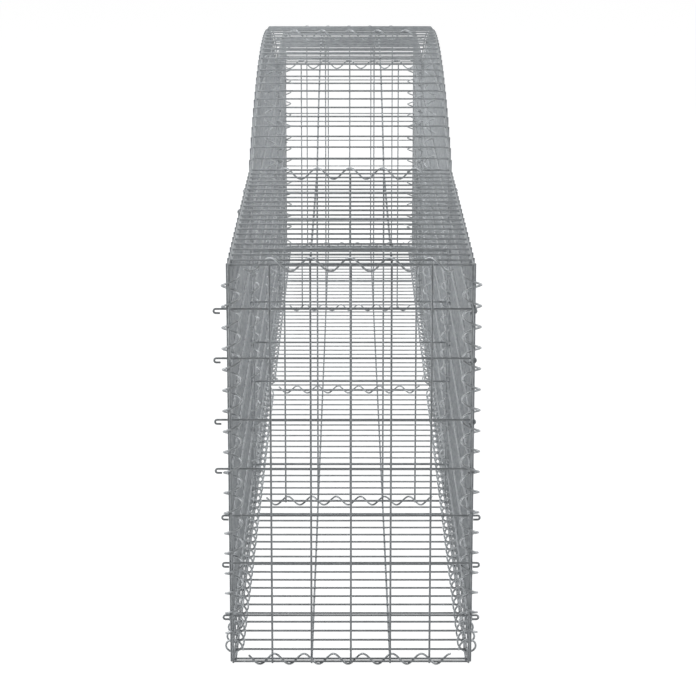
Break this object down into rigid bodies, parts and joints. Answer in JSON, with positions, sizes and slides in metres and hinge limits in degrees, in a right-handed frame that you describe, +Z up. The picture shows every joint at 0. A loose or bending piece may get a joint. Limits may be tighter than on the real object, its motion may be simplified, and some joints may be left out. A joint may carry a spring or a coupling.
{
  "type": "gabion basket",
  "caption": "Long narrow welded wire mesh gabion basket with an arched lid, cross panels with hooked tie rods, and lacing spirals up its corners, along its foot and across each panel.",
  "frame": {"origin": "middle of the footprint, on the ground under the lowest turns of the spirals", "axes": "+X to the right across the basket, +Y along it from the front end to the rear, +Z up"},
  "size_m": [0.512, 4.0174, 0.9982],
  "materials": {
    "mesh_wire": "hot-dip galvanised, dull grey",
    "lacing_wire": "hot-dip galvanised, dull grey"
  },
  "bodies": {
    "root": {"floor_front": "mesh_wire", "floor_rear": "mesh_wire", "lid_front": "mesh_wire", "lid_rear": "mesh_wire", "front_end_panel": "mesh_wire", "rear_end_panel": "mesh_wire", "front_partition": "mesh_wire", "rear_partition": "mesh_wire", "left_wall_front": "mesh_wire", "left_wall_rear": "mesh_wire", "right_wall_front": "mesh_wire", "right_wall_rear": "mesh_wire", "left_corner_spiral_front": "lacing_wire", "left_partition_spiral_front": "lacing_wire", "left_foot_spiral_front": "lacing_wire", "right_corner_spiral_front": "lacing_wire", "right_partition_spiral_front": "lacing_wire", "right_foot_spiral_front": "lacing_wire", "front_sill_spiral": "lacing_wire", "front_partition_sill_spiral": "lacing_wire", "front_head_spiral": "lacing_wire", "front_partition_head_spiral": "lacing_wire", "left_corner_spiral_rear": "lacing_wire", "left_partition_spiral_rear": "lacing_wire", "left_foot_spiral_rear": "lacing_wire", "right_corner_spiral_rear": "lacing_wire", "right_partition_spiral_rear": "lacing_wire", "right_foot_spiral_rear": "lacing_wire", "rear_sill_spiral": "lacing_wire", "rear_partition_sill_spiral": "lacing_wire", "rear_head_spiral": "lacing_wire", "rear_partition_head_spiral": "lacing_wire", "left_joint_spiral": "lacing_wire", "right_joint_spiral": "lacing_wire", "floor_joint_spiral": "lacing_wire", "crown_joint_spiral": "lacing_wire"}
  },
  "joints": []
}
